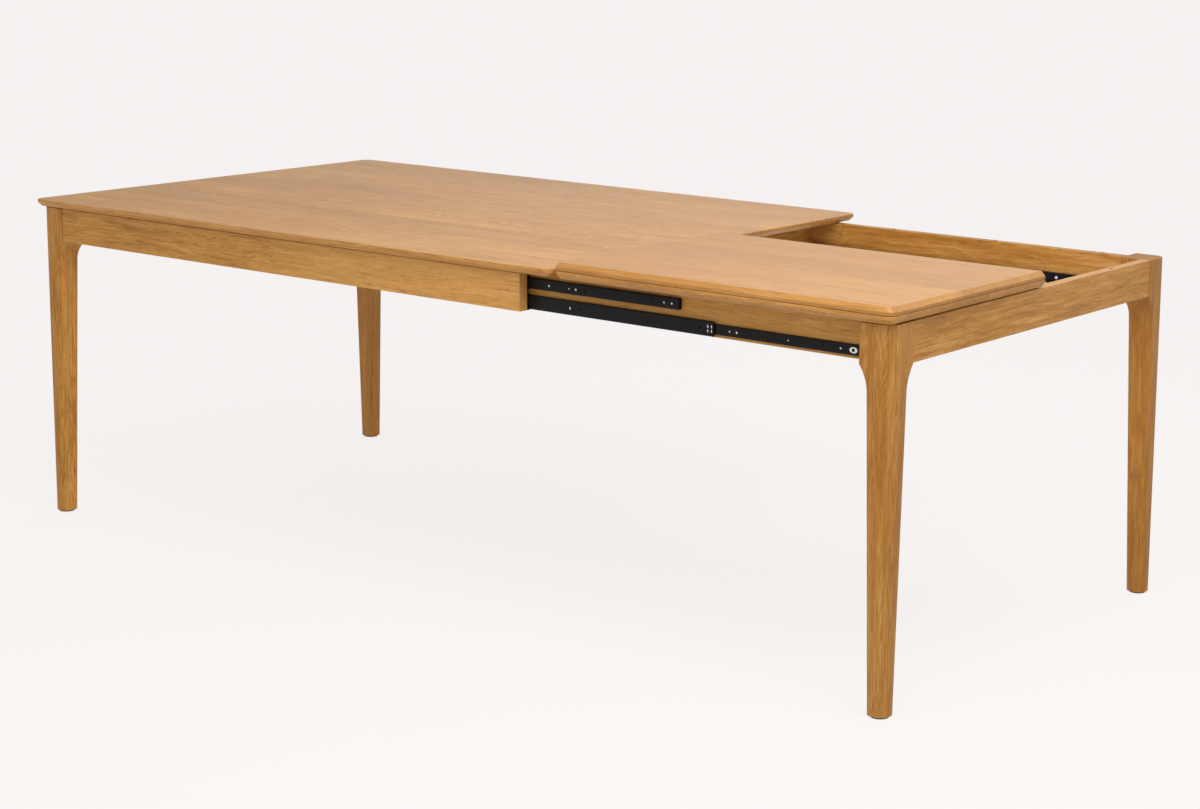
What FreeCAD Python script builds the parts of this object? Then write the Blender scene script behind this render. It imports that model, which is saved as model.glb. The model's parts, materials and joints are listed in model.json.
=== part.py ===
import FreeCAD, Part
import math
import os

# Extending dining table in oak, drawn open, with its two-part leaf folded over the bay.
# Millimetres. X runs along the table towards the pull-out end, Y from front to back, Z up.
# The origin is on the floor under the middle of the open table.

# ---------------------------------------------------------------- driving dimensions
table_height = 760.0
table_width = 1100.0
main_top_length = 1600.0
leaf_length = 800.0
leaf_gap = 15.0  # left beside the leaf until the end frame is pushed home
leaf_stand = 9.0  # of that gap, the share between the main top and the folded leaf

top_thickness = 16.0
top_lip = 7.0  # upright part of a top's edge, above its underside bevel
top_bevel = 9.0  # how far the underside bevel runs in
top_corner_radius = 21.0
top_edge_radius = 2.0
top_overhang = 12.0  # from a leg's outer face to the top's edge
shadow_gap = 2.0  # between the frame and the tops

leg_block = 72.0  # side of the leg's square head
leg_shoulder = 58.0  # side of the leg below the curve
leg_foot = 44.0
leg_curve_drop = 47.0
head_corner_radius = 26.0
foot_corner_radius = 20.5
head_edge_radius = 1.5
head_rim_radius = 1.0  # eased rim round the top of a leg
foot_edge_radius = 18.0
shoulder_edge_radius = 10.0
glide_radius = 18.5
glide_thickness = 4.0

apron_height = 78.0
apron_thickness = 23.0
apron_set_back = 2.0  # behind the leg's outer face
apron_end_clearance = 3.0  # to the pull-out leg when the table is shut
rail_thickness = 22.0
rail_tail = 250.0  # length of an inner rail that stays inside the side apron
bay_clearance = 60.0  # added to the leaf's length between end apron and bay cross rail
cross_rail_place = 360.0  # fixed cross rail, from the left legs' outer faces
cross_rail_height = 60.0
beam_edge_radius = 1.0  # eased long edges of aprons and rails

slide_space = 12.6  # between side apron and inner rail
slide_sheet = 1.4
slide_length = 800.0
lower_outer_height = 33.0
lower_middle_height = 29.3
lower_inner_height = 21.0
upper_outer_height = 26.0
upper_inner_height = 22.5
lower_slide_drop = 61.5  # slide's centre line below the frame's top
upper_slide_drop = 22.5
outer_flange = 9.0
middle_face = 3.2  # the middle member's front, from the apron
middle_flange = 7.6
lower_inner_depth = 5.2
lower_inner_spare = 10.0  # length of the lower inner member beyond the travel
upper_inner_length = 635.0
upper_reach = 384.0  # upper member beyond the side apron's end
middle_ratio = 0.6  # share of the end frame's travel that the middle member makes
middle_set_back = 21.0
member_end_radius = 4.0
cage_length = 300.0
cage_clearance = 0.2
cage_sheet = 0.6
window_width = 5.0
window_height = 17.0
window_pitch = 9.0
window_set_back = 16.0  # last window's centre from the middle member's end
eyelet_radius = 6.0
eyelet_stretch = 3.0  # from the eyelet's middle to each of its round ends' centres
eyelet_bore = 2.6
eyelet_thickness = 1.1
eyelet_place = 30.0  # from the lower inner member's right end
rivet_places = (111.0, -180.0)  # middle member's rivets, from the side apron's end
relief_place = 23.0  # open hole in the middle member, from its first rivet
relief_radius = 2.2

stiffener_width = 30.0
stiffener_thickness = 6.0
stiffener_margin = 70.0
stiffener_places = (560.0, 1080.0, 1500.0)  # from the main top's left edge
cleat_width = 20.0
cleat_height = 24.0
cleat_margin = 6.0
cleat_screw_offset = 50.0  # from a side cleat's middle
spacer_radius = 8.0
spacer_pitch = 260.0
spacer_count = 4

plate_thickness = 2.5
plate_height = 34.0
plate_rise = 2.0  # above the aprons' lower edges
plate_flange = 30.0
plate_lead = 6.0  # plate's distance past the leg's inner corner, across both aprons
bolt_radius = 4.0
bolt_depth = 42.0  # in the leg
bolt_stand_out = 12.0  # past the plate
washer_radius = 9.0
washer_thickness = 1.6
nut_across_flats = 13.0
nut_thickness = 6.5

runner_height = 22.0
runner_depth = 10.0
runner_sheet = 1.5
runner_end_gap = 6.0
runner_drop = 63.0  # runner's centre line below the frame's top
runner_screw_places = (104.0, 310.0, 520.0, 725.0)  # from the runner's right end
bearer_width = 60.0
bearer_thickness = 16.0
bearer_places = (0.22, 0.62)  # bearers' middles, as shares of the runner's length
bearer_clearance = 0.4
pad_radius = 4.0
pad_clearance = 0.3
rail_pad_count = 3
apron_pad_count = 3

fold_gap = 0.4  # between the two folded halves
seam_gap = 0.6  # between the two opened halves
hinge_length = 60.0
hinge_places = (95.0, 400.0, 705.0)  # hinge centres from the leaf's left edge
hinge_barrel_radius = 3.0
hinge_barrel_clearance = 0.4
hinge_pin_radius = 1.25
hinge_plate = 1.5
hinge_plate_reach = 13.5
knuckle_share = 0.3  # of the hinge's length, for each outer knuckle
knuckle_clearance = 0.3
locating_pin_radius = 3.0
locating_pin_stand_out = 7.5
locating_pin_depth = 28.0
locating_pin_places = (40.0, 95.0)  # from the table's middle line

screw_radius = 2.0
screw_head_radius = 3.6
screw_head_height = 1.6
screw_depth = 15.0
low_head_height = 1.2  # of the screws and rivets inside the slides
low_head_radius = 2.6
slide_screw_rise = 8.0  # outer members' screws above the slide's centre line
rail_screw_depth = 12.0
runner_screw_depth = 7.0
fit = 0.05  # radial clearance of screws, bolts and hinge pins
pin_fit = 0.2  # radial clearance of the locating pins

# ---------------------------------------------------------------- places that follow from them
travel = leaf_length + leaf_gap
left_edge = -(main_top_length + leaf_stand + leaf_length) / 2
main_right = left_edge + main_top_length
leaf_left = main_right + leaf_stand
leaf_right = leaf_left + leaf_length
right_edge = main_right + travel
front_edge = -table_width / 2

top_underside = table_height - top_thickness
frame_top = top_underside - shadow_gap
apron_bottom = frame_top - apron_height
shoulder_height = apron_bottom - leg_curve_drop

left_leg_face = left_edge + top_overhang
right_leg_face = right_edge - top_overhang
front_leg_face = front_edge + top_overhang
left_head_end = left_leg_face + leg_block
right_head_end = right_leg_face - leg_block

apron_front = front_leg_face + apron_set_back
apron_inside = apron_front + apron_thickness
side_apron_end = right_head_end - travel - apron_end_clearance
left_apron_inside = left_leg_face + apron_set_back + apron_thickness
right_apron_inside = right_leg_face - apron_set_back - apron_thickness

rail_front = apron_inside + slide_space
rail_inside = rail_front + rail_thickness
rail_left = side_apron_end - rail_tail
bay_left = right_apron_inside - leaf_length - bay_clearance
cross_rail_left = left_leg_face + cross_rail_place

lower_slide_z = frame_top - lower_slide_drop
upper_slide_z = frame_top - upper_slide_drop
middle_right = side_apron_end + middle_ratio * travel - middle_set_back
lower_inner_right = right_head_end - apron_end_clearance
lower_inner_length = travel + lower_inner_spare
upper_inner_right = side_apron_end + upper_reach

plate_line = 2 * leg_block + plate_lead
left_plate_end = plate_line - (apron_inside - front_leg_face) + plate_flange
right_plate_end = plate_line - (rail_inside - front_leg_face) + plate_flange
plate_z = apron_bottom + plate_rise

runner_left = bay_left + runner_end_gap
runner_right = right_leg_face - right_plate_end - runner_end_gap
fold_axis_z = table_height + fold_gap / 2

nodes = {}


# ---------------------------------------------------------------- helpers
def vec(x, y, z):
    return FreeCAD.Vector(x, y, z)


def box(x0, x1, y0, y1, z0, z1):
    return Part.makeBox(x1 - x0, y1 - y0, z1 - z0, vec(x0, y0, z0))


def beam(x0, x1, y0, y1, z0, z1):
    """A length of timber with its four long edges eased."""
    along_x = x1 - x0 > y1 - y0
    block = box(x0, x1, y0, y1, z0, z1)
    length = x1 - x0 if along_x else y1 - y0
    long_edges = [e for e in block.Edges if abs(e.Length - length) < 0.01]
    return block.makeFillet(beam_edge_radius, long_edges)


def rod(start, direction, radius, length):
    return Part.makeCylinder(radius, length, start, direction)


def mirrored(shape):
    """The same piece on the other side of the table's middle line."""
    return shape.mirror(vec(0, 0, 0), vec(0, 1, 0))


def keep(name, *shapes):
    """Stores one node: a single solid, or a group of alike solids."""
    solids = [solid for shape in shapes for solid in shape.Solids]
    nodes[name] = solids[0] if len(solids) == 1 else Part.makeCompound(solids)


def rounded_outline(x0, x1, y0, y1, z, radii):
    """Closed outline with corner radii in the order x0y0, x1y0, x1y1, x0y1."""
    corners = [(x0, y0, 1, 1), (x1, y0, -1, 1), (x1, y1, -1, -1), (x0, y1, 1, -1)]
    ends = []
    for place, ((cx, cy, sx, sy), r) in enumerate(zip(corners, radii)):
        along_x = vec(cx + sx * r, cy, z)
        along_y = vec(cx, cy + sy * r, z)
        middle = vec(cx + sx * r * (1 - math.sqrt(0.5)), cy + sy * r * (1 - math.sqrt(0.5)), z)
        turn = (along_y, middle, along_x) if place % 2 == 0 else (along_x, middle, along_y)
        ends.append(turn)
    edges = []
    for place, (start, middle, end) in enumerate(ends):
        edges.append(Part.Arc(start, middle, end).toShape())
        edges.append(Part.makeLine(end, ends[(place + 1) % 4][0]))
    return Part.Wire(edges)


def top_panel(x0, x1, y0, y1):
    """A top: upright lip, then a bevel on the underside all round."""
    lip_z = table_height - top_lip
    radii = [top_corner_radius] * 4
    lip = Part.Face(rounded_outline(x0, x1, y0, y1, lip_z, radii)).extrude(vec(0, 0, top_lip))
    upper_edges = [e for e in lip.Edges if all(abs(v.Z - table_height) < 0.01 for v in e.Vertexes)]
    lip = lip.makeFillet(top_edge_radius, upper_edges)
    inner_radii = [max(top_corner_radius - top_bevel, 1.0)] * 4
    bevel = Part.makeLoft(
        [
            rounded_outline(x0, x1, y0, y1, lip_z, radii),
            rounded_outline(
                x0 + top_bevel, x1 - top_bevel, y0 + top_bevel, y1 - top_bevel, top_underside, inner_radii
            ),
        ],
        True,
        True,
    )
    return lip.fuse(bevel).removeSplitter()


def screw(head, direction, length=screw_depth, head_height=screw_head_height, head_radius=screw_head_radius):
    """Pan-head screw: its head stands on the surface at head, its shank runs along direction."""
    back = vec(-direction.x, -direction.y, -direction.z)
    shank = rod(head, direction, screw_radius, length)
    cap = rod(head, back, head_radius, head_height)
    return shank.fuse(cap)


def slide_screw(head, direction, length):
    """Screw or rivet with the low head that passes inside the slides."""
    return screw(head, direction, length, low_head_height, low_head_radius)


def screw_hole(head, direction, length=screw_depth):
    return rod(head, direction, screw_radius + fit, length)


def channel(x0, x1, web_y, flange_y, z_mid, height, sheet):
    """U-shaped sheet profile along X: web at web_y, flanges running to flange_y."""
    low, high = z_mid - height / 2, z_mid + height / 2
    y0, y1 = sorted((web_y, flange_y))
    outer = box(x0, x1, y0, y1, low, high)
    inner_y0, inner_y1 = (y0 + sheet, y1 + 1) if web_y < flange_y else (y0 - 1, y1 - sheet)
    return outer.cut(box(x0 - 1, x1 + 1, inner_y0, inner_y1, low + sheet, high - sheet))


def rounded_end(shape, end_x, z_mid, height):
    """Rounds the two corners of a slide member's right end, seen from the front."""
    r = member_end_radius
    for side in (-1, 1):
        edge_z = z_mid + side * height / 2
        z0, z1 = sorted((edge_z, edge_z - side * r))
        corner = box(end_x - r, end_x + 1, front_edge, 0, z0 - (side < 0), z1 + (side > 0))
        barrel = rod(vec(end_x - r, front_edge, edge_z - side * r), vec(0, 1, 0), r, -front_edge)
        shape = shape.cut(corner.cut(barrel))
    return shape


# ---------------------------------------------------------------- legs, glides and corner fixings
def leg_outline(z, side, corner_r, edge_r):
    return rounded_outline(0, side, 0, side, z, [corner_r, edge_r, edge_r, edge_r])


def corner_radius_at(z):
    share = max(0.0, min(1.0, (z - glide_thickness) / (apron_bottom - glide_thickness)))
    return foot_corner_radius + share * (head_corner_radius - foot_corner_radius)


def make_leg():
    """A leg with its outer corner on the Z axis and its body towards +X and +Y."""
    ear = leg_block - leg_shoulder
    curve_radius = (leg_curve_drop**2 + ear**2) / (2 * ear)
    steps = 6
    curve = []
    for step in range(steps + 1):
        rise = leg_curve_drop * step / steps
        side = leg_shoulder + curve_radius - math.sqrt(curve_radius**2 - rise**2)
        edge_r = shoulder_edge_radius + (head_edge_radius - shoulder_edge_radius) * step / steps
        z = shoulder_height + rise
        curve.append(leg_outline(z, side, corner_radius_at(z), edge_r))
    foot = leg_outline(glide_thickness, leg_foot, foot_corner_radius, foot_edge_radius)
    shaft = Part.makeLoft([foot, curve[0]], True, True)
    ears = Part.makeLoft(curve, True, False)
    head_face = Part.Face(leg_outline(apron_bottom, leg_block, head_corner_radius, head_edge_radius))
    head = head_face.extrude(vec(0, 0, apron_height))
    rim = [e for e in head.Edges if all(abs(v.Z - frame_top) < 0.01 for v in e.Vertexes)]
    head = head.makeFillet(head_rim_radius, rim)
    return shaft.fuse([ears, head])


def corner_fixing(rail_offset):
    """Plate, bolt, washer, nut and screws of one corner, about the leg's outer corner.

    rail_offset is the distance from the leg's outer face to the face that the plate's long side meets.
    """
    end_offset = apron_set_back + apron_thickness
    t = plate_thickness
    far_line = plate_line + t * math.sqrt(2)
    points = [
        (plate_line - rail_offset + plate_flange, rail_offset),
        (plate_line - rail_offset, rail_offset),
        (end_offset, plate_line - end_offset),
        (end_offset, plate_line - end_offset + plate_flange),
        (end_offset + t, plate_line - end_offset + plate_flange),
        (end_offset + t, far_line - end_offset - t),
        (far_line - rail_offset - t, rail_offset + t),
        (plate_line - rail_offset + plate_flange, rail_offset + t),
    ]
    loop = [vec(x, y, plate_z) for x, y in points]
    plate = Part.Face(Part.makePolygon(loop + loop[:1])).extrude(vec(0, 0, plate_height))

    mid_z = plate_z + plate_height / 2
    diagonal = vec(1, 1, 0)
    diagonal.normalize()
    half = math.sqrt(0.5)
    seat = vec(plate_line / 2 + t * half, plate_line / 2 + t * half, mid_z)
    head_corner = vec(leg_block, leg_block, mid_z)
    start = head_corner - diagonal * bolt_depth
    bolt_length = (seat - start).Length + bolt_stand_out
    bolt = rod(start, diagonal, bolt_radius, bolt_length)
    bolt_hole = rod(start, diagonal, bolt_radius + fit, bolt_length)
    washer = rod(seat, diagonal, washer_radius, washer_thickness).cut(bolt_hole)
    flat_radius = nut_across_flats / math.sqrt(3)
    across = vec(-half, half, 0)
    rim = []
    for corner in range(7):
        angle = math.radians(60 * corner)
        rim.append(
            seat
            + diagonal * washer_thickness
            + across * (flat_radius * math.cos(angle))
            + vec(0, 0, flat_radius * math.sin(angle))
        )
    nut = Part.Face(Part.makePolygon(rim)).extrude(diagonal * nut_thickness).cut(bolt_hole)

    heads = []
    for side in (-1, 1):
        z = mid_z + side * plate_height / 4
        heads.append((vec(plate_line - rail_offset + plate_flange / 2, rail_offset + t, z), vec(0, -1, 0)))
        heads.append((vec(end_offset + t, plate_line - end_offset + plate_flange / 2, z), vec(-1, 0, 0)))
    screws = [screw(p, d) for p, d in heads]
    holes = [screw_hole(p, d) for p, d in heads]
    plate = plate.cut(bolt_hole).cut(Part.makeCompound(holes))
    return {
        "plate": plate,
        "bolt": bolt,
        "washer": washer,
        "nut": nut,
        "screws": Part.makeCompound(screws),
        "bolt_hole": bolt_hole,
        "screw_holes": Part.makeCompound(holes),
    }


def at_left(shape):
    return shape.translated(vec(left_leg_face, front_leg_face, 0))


def at_right(shape):
    return shape.mirror(vec(0, 0, 0), vec(1, 0, 0)).translated(vec(right_leg_face, front_leg_face, 0))


leg = make_leg()
left_fixing = corner_fixing(apron_inside - front_leg_face)
right_fixing = corner_fixing(rail_inside - front_leg_face)
foot_middle = leg_foot / 2
glide = rod(vec(foot_middle, foot_middle, 0), vec(0, 0, 1), glide_radius, glide_thickness)

for end, place, fixing in (("left", at_left, left_fixing), ("right", at_right, right_fixing)):
    front_leg = place(leg.cut(fixing["bolt_hole"]))
    keep("front_%s_leg" % end, front_leg)
    keep("back_%s_leg" % end, mirrored(front_leg))
    keep("%s_glides" % end, place(glide), mirrored(place(glide)))
    keep("%s_corner_plates" % end, place(fixing["plate"]), mirrored(place(fixing["plate"])))
    keep("%s_leg_bolts" % end, place(fixing["bolt"]), mirrored(place(fixing["bolt"])))
    rings = [place(fixing["washer"]), mirrored(place(fixing["washer"]))]
    hexes = [place(fixing["nut"]), mirrored(place(fixing["nut"]))]
    keep("%s_leg_nuts" % end, *rings, *hexes)
    keep("%s_plate_screws" % end, place(fixing["screws"]), mirrored(place(fixing["screws"])))

left_screw_holes = Part.makeCompound(
    [at_left(left_fixing["screw_holes"]), mirrored(at_left(left_fixing["screw_holes"]))]
)
right_screw_holes = Part.makeCompound(
    [at_right(right_fixing["screw_holes"]), mirrored(at_right(right_fixing["screw_holes"]))]
)

# ---------------------------------------------------------------- slides, front pair then mirrored
slide_front = apron_inside
rail_face = rail_front
to_front = vec(0, -1, 0)
to_back = vec(0, 1, 0)

lower_outer = channel(
    side_apron_end - slide_length,
    side_apron_end,
    slide_front,
    slide_front + outer_flange,
    lower_slide_z,
    lower_outer_height,
    slide_sheet,
)
upper_outer = channel(
    side_apron_end - slide_length,
    side_apron_end,
    slide_front,
    slide_front + outer_flange,
    upper_slide_z,
    upper_outer_height,
    slide_sheet,
)
outer_screw_xs = [side_apron_end - slide_length * share for share in (0.95, 0.65, 0.35, 0.05)]
outer_heads = []
for screw_x in outer_screw_xs:
    outer_heads.append(vec(screw_x, slide_front + slide_sheet, lower_slide_z + slide_screw_rise))
    outer_heads.append(vec(screw_x, slide_front + slide_sheet, upper_slide_z + slide_screw_rise))
outer_screws = Part.makeCompound([slide_screw(p, to_front, screw_depth) for p in outer_heads])
outer_holes = Part.makeCompound([screw_hole(p, to_front) for p in outer_heads])
lower_outer = lower_outer.cut(outer_holes)
upper_outer = upper_outer.cut(outer_holes)

middle_front = slide_front + middle_face
middle = channel(
    middle_right - slide_length,
    middle_right,
    middle_front,
    middle_front + middle_flange,
    lower_slide_z,
    lower_middle_height,
    slide_sheet,
)
middle = rounded_end(middle, middle_right, lower_slide_z, lower_middle_height)
for window in range(2):
    window_x = middle_right - window_set_back + (window - 0.5) * window_pitch + window_pitch / 2 - 3
    middle = middle.cut(
        box(
            window_x - window_width / 2,
            window_x + window_width / 2,
            middle_front - 1,
            middle_front + slide_sheet + 1,
            lower_slide_z - window_height / 2,
            lower_slide_z + window_height / 2,
        )
    )
rivets = []
for place in rivet_places:
    seat = vec(side_apron_end + place, middle_front, lower_slide_z)
    middle = middle.cut(rod(seat, to_back, screw_radius + fit, slide_sheet))
    rivets.append(slide_screw(seat, to_back, slide_sheet))
relief_x = side_apron_end + rivet_places[0] + relief_place
middle = middle.cut(rod(vec(relief_x, middle_front, lower_slide_z), to_back, relief_radius, slide_sheet))

cage_height = lower_middle_height - 2 * slide_sheet - 2 * cage_clearance
cage_wall = (cage_height - lower_inner_height) / 2 - cage_clearance
cage_front = middle_front + slide_sheet + cage_clearance
cage_back = middle_front + middle_flange
cage = box(
    middle_right - cage_length,
    middle_right - 2,
    cage_front,
    cage_back,
    lower_slide_z - cage_height / 2,
    lower_slide_z + cage_height / 2,
)
cage = cage.cut(
    box(
        middle_right - cage_length - 1,
        middle_right,
        cage_front + cage_sheet,
        cage_back + 1,
        lower_slide_z - cage_height / 2 + cage_wall,
        lower_slide_z + cage_height / 2 - cage_wall,
    )
)

lower_inner_front = rail_face - lower_inner_depth
lower_inner = box(
    lower_inner_right - lower_inner_length,
    lower_inner_right,
    lower_inner_front,
    rail_face,
    lower_slide_z - lower_inner_height / 2,
    lower_slide_z + lower_inner_height / 2,
)
lower_hollow = box(
    lower_inner_right - lower_inner_length - 1,
    lower_inner_right + 1,
    lower_inner_front + slide_sheet,
    rail_face - slide_sheet,
    lower_slide_z - lower_inner_height / 2 + slide_sheet,
    lower_slide_z + lower_inner_height / 2 - slide_sheet,
)
lower_inner = lower_inner.cut(lower_hollow)
upper_inner_front = slide_front + middle_face
upper_inner_left = upper_inner_right - upper_inner_length
upper_inner = box(
    upper_inner_left,
    upper_inner_right,
    upper_inner_front,
    rail_face,
    upper_slide_z - upper_inner_height / 2,
    upper_slide_z + upper_inner_height / 2,
)
upper_inner = rounded_end(upper_inner, upper_inner_right, upper_slide_z, upper_inner_height)
upper_inner = upper_inner.cut(
    box(
        upper_inner_left - 1,
        upper_inner_right - member_end_radius - slide_sheet,
        upper_inner_front + slide_sheet,
        rail_face - slide_sheet,
        upper_slide_z - upper_inner_height / 2 + slide_sheet,
        upper_slide_z + upper_inner_height / 2 - slide_sheet,
    )
)
# Screw places along each inner member, measured from its right end.
lower_screw_places = (58.0, 176.0, 295.0, 312.0, 519.0, 699.0)
upper_screw_places = (17.0, 36.0, 258.0, 276.0, 328.0, 513.0)
lower_heads = [vec(lower_inner_right - x, lower_inner_front, lower_slide_z) for x in lower_screw_places]
upper_heads = [vec(upper_inner_right - x, upper_inner_front, upper_slide_z) for x in upper_screw_places]
lower_screw_length = lower_inner_depth + rail_screw_depth
upper_screw_length = slide_space - middle_face + rail_screw_depth
lower_screws = [slide_screw(p, to_back, lower_screw_length) for p in lower_heads]
upper_screws = [slide_screw(p, to_back, upper_screw_length) for p in upper_heads]
inner_holes = Part.makeCompound(
    [screw_hole(p, to_back, lower_screw_length) for p in lower_heads]
    + [screw_hole(p, to_back, upper_screw_length) for p in upper_heads]
)
lower_inner = lower_inner.cut(inner_holes)
upper_inner = upper_inner.cut(inner_holes)
eyelet_seat = vec(lower_inner_right - eyelet_place, lower_inner_front, lower_slide_z)
eyelet_ends = [eyelet_seat + vec(side * eyelet_stretch, 0, 0) for side in (-1, 1)]
eyelet = box(
    eyelet_ends[0].x,
    eyelet_ends[1].x,
    lower_inner_front - eyelet_thickness,
    lower_inner_front,
    lower_slide_z - eyelet_radius,
    lower_slide_z + eyelet_radius,
)
eyelet = eyelet.fuse([rod(end, to_front, eyelet_radius, eyelet_thickness) for end in eyelet_ends])
eyelet = eyelet.cut(rod(eyelet_seat, to_front, eyelet_bore, eyelet_thickness)).removeSplitter()

slide_pieces = {
    "lower_slide_outer": [lower_outer],
    "upper_slide_outer": [upper_outer],
    "lower_slide_middle": [middle],
    "slide_middle_rivets": rivets,
    "slide_ball_cage": [cage],
    "lower_slide_inner": [lower_inner],
    "upper_slide_inner": [upper_inner],
}
for piece_name, shapes in slide_pieces.items():
    keep("front_" + piece_name, *shapes)
    keep("back_" + piece_name, *[mirrored(shape) for shape in shapes])
inner_screws = lower_screws + upper_screws
keep("slide_outer_screws", outer_screws, mirrored(outer_screws))
keep("slide_inner_screws", *inner_screws, *[mirrored(s) for s in inner_screws])
keep("slide_eyelets", eyelet, mirrored(eyelet))

# ---------------------------------------------------------------- aprons and rails
front_apron = beam(left_head_end, side_apron_end, apron_front, apron_inside, apron_bottom, frame_top)
front_apron = front_apron.cut(outer_holes).cut(left_screw_holes)
keep("front_apron", front_apron)
keep("back_apron", mirrored(front_apron))

head_end_y = front_leg_face + leg_block
left_apron = beam(
    left_leg_face + apron_set_back, left_apron_inside, head_end_y, -head_end_y, apron_bottom, frame_top
)
keep("left_end_apron", left_apron.cut(left_screw_holes))
right_apron = beam(
    right_apron_inside, right_leg_face - apron_set_back, head_end_y, -head_end_y, apron_bottom, frame_top
)
keep("right_end_apron", right_apron.cut(right_screw_holes))

runner_web = rail_inside + runner_sheet
runner_z = frame_top - runner_drop
runner_heads = [vec(runner_right - place, runner_web, runner_z) for place in runner_screw_places]
runner_screw_length = runner_sheet + runner_screw_depth
runner_screws = [screw(p, to_front, runner_screw_length) for p in runner_heads]
runner_holes = Part.makeCompound([screw_hole(p, to_front, runner_screw_length) for p in runner_heads])

front_rail = beam(rail_left, right_head_end, rail_front, rail_inside, apron_bottom, frame_top)
front_rail = front_rail.cut(inner_holes).cut(right_screw_holes).cut(runner_holes)
keep("front_inner_rail", front_rail)
keep("back_inner_rail", mirrored(front_rail))

keep(
    "bay_cross_rail",
    beam(bay_left - rail_thickness, bay_left, rail_inside, -rail_inside, apron_bottom, frame_top),
)
keep(
    "tail_cross_rail",
    beam(rail_left, rail_left + rail_thickness, rail_inside, -rail_inside, apron_bottom, frame_top),
)
keep(
    "fixed_cross_rail",
    beam(
        cross_rail_left,
        cross_rail_left + rail_thickness,
        apron_inside,
        -apron_inside,
        top_underside - cross_rail_height,
        top_underside,
    ),
)

# ---------------------------------------------------------------- bay runners, bearers and rest pads
runner = channel(
    runner_left, runner_right, rail_inside, rail_inside + runner_depth, runner_z, runner_height, runner_sheet
)
runner = runner.cut(runner_holes)
keep("bay_runners", runner, mirrored(runner))
keep("bay_runner_screws", *runner_screws, *[mirrored(s) for s in runner_screws])

bearers = []
bearer_end = runner_web + screw_head_height + bearer_clearance
bearer_z = runner_z - runner_height / 2 + runner_sheet + bearer_clearance
for share in bearer_places:
    bearer_x = runner_left + (runner_right - runner_left) * share
    bearers.append(
        box(
            bearer_x - bearer_width / 2,
            bearer_x + bearer_width / 2,
            bearer_end,
            -bearer_end,
            bearer_z,
            bearer_z + bearer_thickness,
        )
    )
keep("leaf_bearers", *bearers)

pads = []
pad_thickness = shadow_gap - pad_clearance
rail_middle = (rail_front + rail_inside) / 2
for number in range(rail_pad_count):
    pad_x = leaf_left + leaf_length * (number + 0.5) / rail_pad_count
    pad = rod(vec(pad_x, rail_middle, frame_top), vec(0, 0, 1), pad_radius, pad_thickness)
    pads += [pad, mirrored(pad)]
end_apron_middle = (right_apron_inside + right_leg_face - apron_set_back) / 2
for number in range(apron_pad_count):
    pad_y = head_end_y + (-2 * head_end_y) * (number + 0.5) / apron_pad_count
    pads.append(rod(vec(end_apron_middle, pad_y, frame_top), vec(0, 0, 1), pad_radius, pad_thickness))
keep("leaf_rest_pads", *pads)

# ---------------------------------------------------------------- main top and what holds it
main_top = top_panel(left_edge, main_right, front_edge, -front_edge)
stiffeners = []
for place in stiffener_places:
    stiffeners.append(
        box(
            left_edge + place - stiffener_width / 2,
            left_edge + place + stiffener_width / 2,
            front_edge + stiffener_margin,
            -front_edge - stiffener_margin,
            top_underside,
            top_underside + stiffener_thickness,
        )
    )
main_top = main_top.cut(Part.makeCompound(stiffeners))
keep("top_stiffeners", *stiffeners)

cleat_bottom = top_underside - cleat_height
side_cleat = box(
    left_leg_face + left_plate_end + cleat_margin,
    cross_rail_left - cleat_margin,
    apron_inside,
    apron_inside + cleat_width,
    cleat_bottom,
    top_underside,
)
end_cleat_y = front_leg_face + left_plate_end + cleat_margin
end_cleat = box(
    left_apron_inside, left_apron_inside + cleat_width, end_cleat_y, -end_cleat_y, cleat_bottom, top_underside
)
cleat_screw_length = cleat_height + top_thickness / 2
cleat_heads = []
side_cleat_middle = (left_leg_face + left_plate_end + cross_rail_left) / 2
for offset in (-cleat_screw_offset, cleat_screw_offset):
    for y in (apron_inside + cleat_width / 2, -apron_inside - cleat_width / 2):
        cleat_heads.append(vec(side_cleat_middle + offset, y, cleat_bottom))
for share in (-0.8, -0.3, 0.3, 0.8):
    cleat_heads.append(vec(left_apron_inside + cleat_width / 2, share * end_cleat_y, cleat_bottom))
up = vec(0, 0, 1)
cleat_screws = [screw(p, up, cleat_screw_length) for p in cleat_heads]
cleat_holes = Part.makeCompound([screw_hole(p, up, cleat_screw_length) for p in cleat_heads])
keep("side_top_cleats", side_cleat.cut(cleat_holes), mirrored(side_cleat).cut(cleat_holes))
keep("left_top_cleat", end_cleat.cut(cleat_holes))
keep("cleat_screws", *cleat_screws)

spacers = []
apron_middle = (apron_front + apron_inside) / 2
for number in range(spacer_count):
    spacer_x = side_apron_end - spacer_radius * 3 - number * spacer_pitch
    spacer = rod(vec(spacer_x, apron_middle, frame_top), up, spacer_radius, shadow_gap)
    spacers += [spacer, mirrored(spacer)]
head_spacer = rod(
    vec(left_leg_face + leg_block / 2, front_leg_face + leg_block / 2, frame_top),
    up,
    spacer_radius * 2,
    shadow_gap,
)
keep("top_spacers", *spacers, head_spacer, mirrored(head_spacer))

# ---------------------------------------------------------------- leaf, hinges and locating pins
leaf = top_panel(leaf_left, leaf_right, front_edge, -front_edge)
front_side = box(leaf_left - 1, leaf_right + 1, front_edge - 1, -seam_gap / 2, 0, table_height + 1)
front_half = leaf.common(front_side)

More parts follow.
